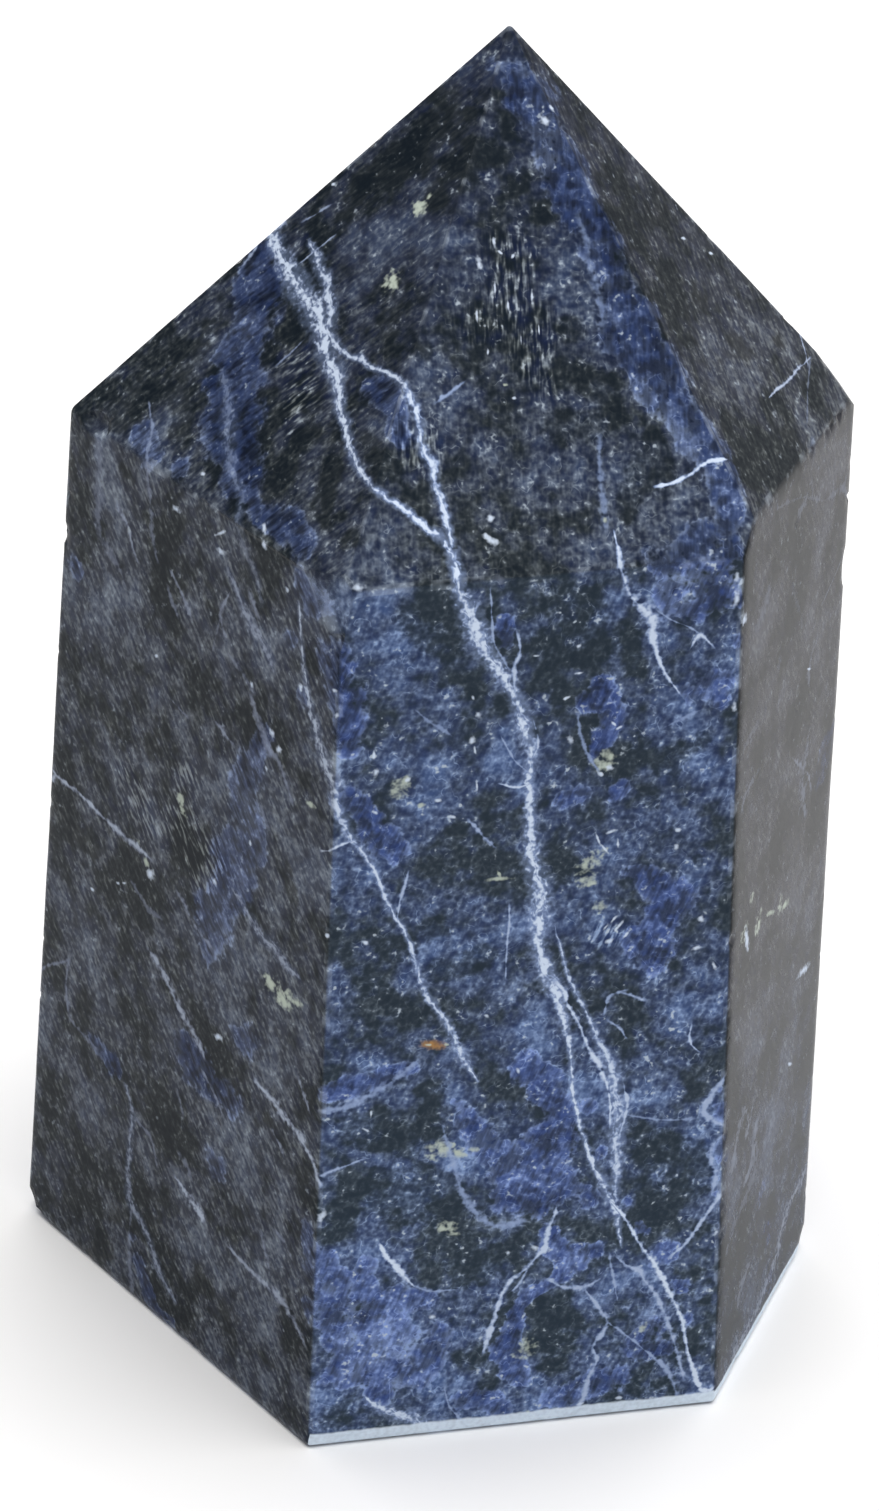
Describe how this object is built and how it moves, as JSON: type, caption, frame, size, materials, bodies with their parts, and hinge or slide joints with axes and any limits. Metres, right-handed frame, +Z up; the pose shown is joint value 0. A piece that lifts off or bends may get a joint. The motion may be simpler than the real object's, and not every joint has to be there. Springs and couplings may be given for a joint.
{
  "type": "polished sodalite point",
  "caption": "Cut and polished sodalite point: an upright faceted column with a pyramid tip and a flat sawn foot, dark blue with white veins.",
  "frame": {"origin": "middle of the foot's outline, on the surface the stone stands on", "axes": "+Z up to the tip, -Y out of the front face, +X to the right of the front face"},
  "size_m": [0.0528, 0.0498, 0.0898],
  "materials": {
    "polished_sodalite": "polished"
  },
  "bodies": {
    "root": {"sodalite_point": "polished_sodalite"}
  },
  "joints": []
}
